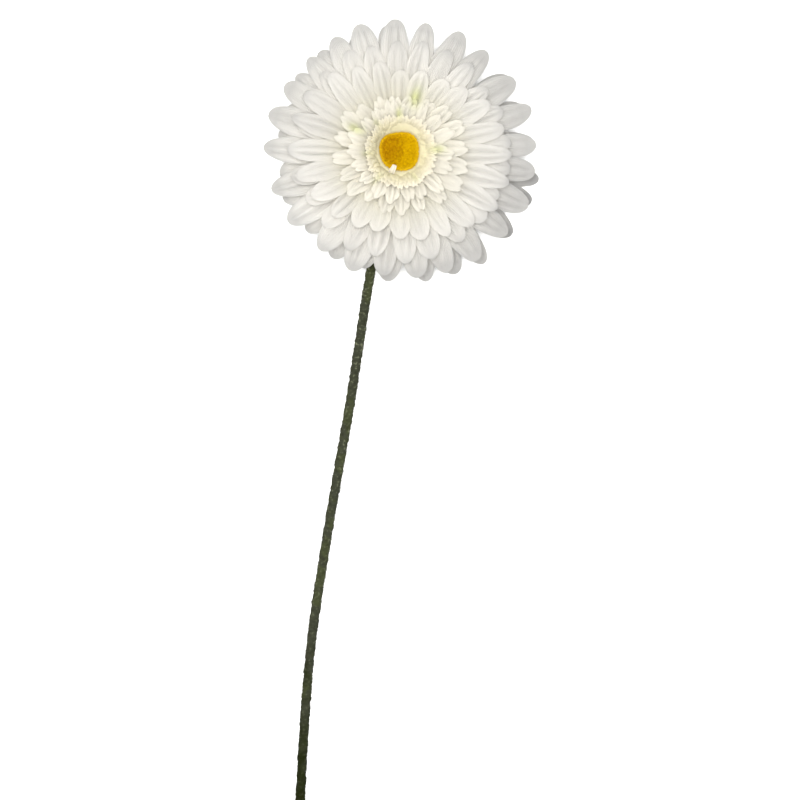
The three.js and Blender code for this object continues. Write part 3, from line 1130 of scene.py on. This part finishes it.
def bract(surface, rng, low, high, angle, rows=12, columns=7):
    """Adds one pointed bract that follows the cup's wall, with a keel down its middle."""
    along = np.linspace(0, 1, rows)[:, None]
    across = np.linspace(-1, 1, columns)[None, :]
    crown = high == 1
    level = low + (high - low) * along
    stand = BRACT_STAND + BRACT_SPLAY * along + BRACT_KEEL * (1 - np.abs(across)) + BRACT_STRAY * rng.normal()
    reach = (CROWN_RADIUS - CALYX_RIM) * along**2 if crown else 0.0
    belly = BRACT_FOOT + BRACT_BELLY * along * (1 - along)
    half = math.pi / BRACTS_PER_ROW * BRACT_WIDTH * (1 - along**BRACT_POINT) * belly
    droop = CROWN_DROOP if crown else BRACT_DROOP
    height = CALYX_BOTTOM + CALYX_HEIGHT * level - droop * along
    points = polar(calyx_wall(level) + stand + reach, angle + half * across, height)
    surface.add_grid(placed(points), {"rib": 1 - np.abs(across) * 0.9, "across": across})


def joined(meshes):
    """One mesh of several."""
    work = bmesh.new()
    for mesh in meshes:
        work.from_mesh(mesh)
        bpy.data.meshes.remove(mesh)
    whole = bpy.data.meshes.new("Joined")
    work.to_mesh(whole)
    work.free()
    return whole


def length_property(label, description, default, most):
    return FloatProperty(
        name=label, description=description, default=default, min=0, max=most, unit="LENGTH", precision=5
    )


def count_property(label, description, default, most):
    return IntProperty(name=label, description=description, default=default, min=0, max=most)


def power_property(label, description, default):
    return FloatProperty(name=label, description=description, default=default, min=0, unit="POWER")


def colour_property(label, description, hex_colour):
    return FloatVectorProperty(
        name=label, description=description, default=linear(hex_colour),
        subtype="COLOR", size=3, min=0, max=1,
    )


class GERBERA_PG_sizes(bpy.types.PropertyGroup):
    """Sizes of the flower's finest forms."""

    crease_depth: length_property("Crease depth", "Mean depth of the petals' creases", 0.00036, 0.001)
    wrap_roughness: length_property("Wrap roughness", "How far the wrap stands in and out", 0.0003, 0.001)
    fibre_length: length_property("Stem fibre length", "Mean length of the fibres on the stem", 0.0005, 0.002)
    stem_fibres: count_property("Stem fibres", "How many fibres stand on the stem", 13000, 20000)
    flock_length: length_property("Flock length", "Mean length of the fibres on the button", 0.00055, 0.002)
    flock_fibres: count_property("Flock fibres", "How many fibres stand on the button", 6500, 12000)


class GERBERA_PG_colours(bpy.types.PropertyGroup):
    """Colours of the cloth, the flock, the wrap and the floor."""

    petal_white: colour_property("Petal white", "Outer part of the long and middle petals", "e9e7e2")
    petal_glow: colour_property("Petal glow", "Light through the long and middle petals", "e7e5e0")
    petal_inner: colour_property("Petal inner", "Inner part of the long and middle petals", "ede9d6")
    petal_cream: colour_property("Petal cream", "Short petals", "ebe9e2")
    petal_cream_inner: colour_property("Petal cream, inner", "Inner part of the short petals", "f1ede1")
    # Painted shade: the grey laid on the petals' outer ring, tips and edges
    petal_tip_shade: colour_property("Petal tip", "Greyer tips of the petals", "aeadab")
    petal_blush: colour_property("Petal blush", "Pale green yellow patches near the middle", "dae191")
    fringe_cream: colour_property("Fringe cream", "Tips of the fringe", "f8f4e8")
    fringe_inner: colour_property("Fringe inner", "Foot of the fringe", "fbf5d0")
    button_yellow: colour_property("Button yellow", "Main colour of the button", "c49f00")
    button_orange: colour_property("Button orange", "Patches of the button", "ac7d00")
    button_rim: colour_property("Button rim", "Fibres at the button's edge", "d6b31a")
    # Painted shade for the hollows between the button's clumps
    button_hollow_shade: colour_property("Button dark", "Between the button's fibres", "8a6000")
    calyx_green: colour_property("Calyx green", "Ribs of the calyx", "7c8c4e")
    calyx_dark: colour_property("Calyx dark", "Between the ribs of the calyx", "4c5a2c")
    stem_olive: colour_property("Stem olive", "The stem near the head", "313327")
    stem_green: colour_property("Stem green", "Greener patches of the stem", "393e23")
    stem_moss: colour_property("Stem moss", "The stem near its cut end", "161b02")
    # Painted highlight: the pale glints on the stem's fibres
    stem_glint: colour_property("Stem speck", "Pale specks of the stem", "72755d")
    # Painted shade for the hollows and laps of the stem's wrap
    stem_hollow_shade: colour_property("Stem dark", "Hollows of the stem's wrap", "222316")
    floor: colour_property("Floor", "The pale floor", "fbfbfa")


class GERBERA_PG_light(bpy.types.PropertyGroup):
    """Strengths of the studio's lights."""

    front: power_property("Front light", "Power of the wide soft light over the flower", 35.1)
    key: power_property("Key light", "Power of the soft light beyond the head", 9)
    fill: power_property("Fill light", "Power of the soft light at the right", 2.6)
    sky: FloatProperty(
        name="Sky", description="Strength of the even light from all round", default=0.44, min=0, max=5
    )


class GERBERA_OT_stage(bpy.types.Operator):
    """Set the camera over the flower, with its lights and pale floor"""

    bl_idname = "gerbera.stage"
    bl_label = "Stage"

    def execute(self, context):
        scene = context.scene
        light = scene.gerbera_light
        data = bpy.data.cameras.new("Camera")
        data.sensor_width = SENSOR_WIDTH
        data.lens = SENSOR_WIDTH * FOCAL_SHARE
        camera = bpy.data.objects.new("Camera", data)
        camera.location = in_metres((*CAMERA_POINT, CAMERA_HEIGHT))
        scene.collection.objects.link(camera)
        scene.camera = camera
        for name, (place, side) in LIGHTS.items():
            soft_light(name.capitalize(), place, side, getattr(light, name))
        world = bpy.data.worlds.new("Sky")
        world.use_nodes = True
        background = world.node_tree.nodes["Background"].inputs
        background["Color"].default_value = (1, 1, 1, 1)
        background["Strength"].default_value = light.sky
        scene.world = world
        scene.view_settings.view_transform = "Standard"
        mesh = bpy.data.meshes.new("Floor")
        corners = [(x * FLOOR_HALF, y * FLOOR_HALF, 0) for x, y in ((-1, -1), (1, -1), (1, 1), (-1, 1))]
        mesh.from_pydata(corners, [], [(0, 1, 2, 3)])
        mesh.materials.append(floor_paper(scene.gerbera_colours))
        floor = bpy.data.objects.new("Floor", mesh)
        scene.collection.objects.link(floor)
        return {"FINISHED"}


def in_metres(point):
    return Vector([value * MM for value in point])


def soft_light(name, place, side, power):
    """A square soft light that points at the head."""
    data = bpy.data.lights.new(name, "AREA")
    data.size = side
    data.energy = power
    light = bpy.data.objects.new(name, data)
    light.location = place
    aim = in_metres((*HEAD_POINT, SHEET_HEIGHT)) - light.location
    light.rotation_euler = aim.to_track_quat("-Z", "Y").to_euler()
    bpy.context.scene.collection.objects.link(light)


class GERBERA_OT_petals(bpy.types.Operator):
    """Make the six layers of fabric petals"""

    bl_idname = "gerbera.petals"
    bl_label = "Petals"

    def execute(self, context):
        colours = context.scene.gerbera_colours
        white = petal_fabric(
            "Petal_white", colours.petal_inner, colours.petal_white, colours.petal_glow, colours
        )
        cream = petal_fabric(
            "Petal_cream", colours.petal_cream_inner, colours.petal_cream, colours.petal_cream, colours
        )
        for node, layer in LAYERS.items():
            rng = np.random.default_rng(PETAL_SEED + layer.level)
            mesh = petal_sheet(layer, rng, context.scene.gerbera_sizes)
            slot, cloth = ("petal_cream", cream) if "short" in node else ("petal_white", white)
            item = piece(node.capitalize(), mesh, cloth)
            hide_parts(node)
        return {"FINISHED"}


class GERBERA_OT_fringe(bpy.types.Operator):
    """Make the cream fringe that stands as a cup round the button"""

    bl_idname = "gerbera.fringe"
    bl_label = "Fringe"

    def execute(self, context):
        colours = context.scene.gerbera_colours
        rng = np.random.default_rng(FRINGE_SEED)
        rows = [petal_sheet(layer, rng, context.scene.gerbera_sizes) for layer in FRINGE_ROWS]
        wall = Surface()
        cup_wall(wall)
        rows.append(thickened(wall.mesh(), WALL_THICKNESS))
        cream = colours.fringe_cream
        cloth = petal_fabric("Fringe_cream", colours.fringe_inner, cream, cream, colours, FRINGE_BLEND)
        item = piece("Fringe", joined(rows), cloth)
        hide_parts("fringe")
        return {"FINISHED"}


class GERBERA_OT_button(bpy.types.Operator):
    """Make the flocked yellow button in the middle"""

    bl_idname = "gerbera.button"
    bl_label = "Button"

    def execute(self, context):
        surface = Surface()
        button_dome(surface)
        button_fibres(surface, np.random.default_rng(BUTTON_SEED), context.scene.gerbera_sizes)
        flock = button_flock(context.scene.gerbera_colours)
        item = piece("Button", surface.mesh(), flock)
        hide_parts("centre_pad")
        return {"FINISHED"}


class GERBERA_OT_calyx(bpy.types.Operator):
    """Make the green cup of bracts under the head"""

    bl_idname = "gerbera.calyx"
    bl_label = "Calyx"

    def execute(self, context):
        rng = np.random.default_rng(CALYX_SEED)
        bracts = Surface()
        for low, high, shift in BRACT_ROWS:
            for k in range(BRACTS_PER_ROW):
                bract(bracts, rng, low, high, (k + shift) * 2 * math.pi / BRACTS_PER_ROW)
        leaves = thickened(bracts.mesh(), BRACT_THICKNESS)
        cloth = calyx_cloth(context.scene.gerbera_colours)
        item = piece("Calyx", joined([calyx_cup(), leaves]), cloth)
        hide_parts("calyx")
        return {"FINISHED"}


class GERBERA_OT_stem(bpy.types.Operator):
    """Make the wrapped stem with its fibres and the wire in its cut end"""

    bl_idname = "gerbera.stem"
    bl_label = "Stem"

    def execute(self, context):
        sizes = context.scene.gerbera_sizes
        rng = np.random.default_rng(STEM_SEED)
        line = stem_line()
        along, aside, over = tube_frames(line)
        radial = ring_around(aside, over, STEM_SIDES)
        surface = Surface()
        points = wrapped_rod(surface, rng, line, radial, sizes.wrap_roughness / MM)
        stem_fibres(surface, rng, points, radial, along, sizes)
        peg = (on_axis(SHOULDER - PEG_OVERLAP), on_axis(SHEETS_TOP))
        rod(surface, peg, PEG_RADIUS, PEG_SIDES, {"raised": 0.5, "far": 0.0})
        item = piece("Stem", surface.mesh(), stem_wrap(context.scene.gerbera_colours))
        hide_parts("stem")
        wire = Surface()
        reach = along[0] * WIRE_LENGTH
        rod(wire, (line[0] + reach, line[0] - reach), WIRE_RADIUS, WIRE_SIDES, {})
        piece("Wire_end", wire.mesh(), cut_wire())
        return {"FINISHED"}


class GERBERA_PT_panel(bpy.types.Panel):
    """Lists the flower's pieces, sizes, colours and lights"""

    bl_idname = "GERBERA_PT_panel"
    bl_label = "Gerbera"
    bl_space_type = "VIEW_3D"
    bl_region_type = "UI"
    bl_category = "Gerbera"

    def draw(self, context):
        for operator in OPERATORS:
            self.layout.operator(operator.bl_idname)
        for name, group in GROUPS.items():
            box = self.layout.box()
            for size in group.__annotations__:
                box.prop(getattr(context.scene, name), size)


OPERATORS = (
    GERBERA_OT_stage,
    GERBERA_OT_stem,
    GERBERA_OT_calyx,
    GERBERA_OT_petals,
    GERBERA_OT_fringe,
    GERBERA_OT_button,
)
GROUPS = {
    "gerbera_sizes": GERBERA_PG_sizes,
    "gerbera_colours": GERBERA_PG_colours,
    "gerbera_light": GERBERA_PG_light,
}
CLASSES = (*GROUPS.values(), *OPERATORS, GERBERA_PT_panel)


def register():
    for item in CLASSES:
        bpy.utils.register_class(item)
    for name, group in GROUPS.items():
        setattr(bpy.types.Scene, name, PointerProperty(type=group))


def unregister():
    for name in GROUPS:
        delattr(bpy.types.Scene, name)
    for item in reversed(CLASSES):
        bpy.utils.unregister_class(item)


def main():
    register()
    bpy.ops.gerbera.stage()
    bpy.ops.gerbera.stem()
    bpy.ops.gerbera.calyx()
    bpy.ops.gerbera.petals()
    bpy.ops.gerbera.fringe()
    bpy.ops.gerbera.button()


if __name__ == "__main__":
    main()
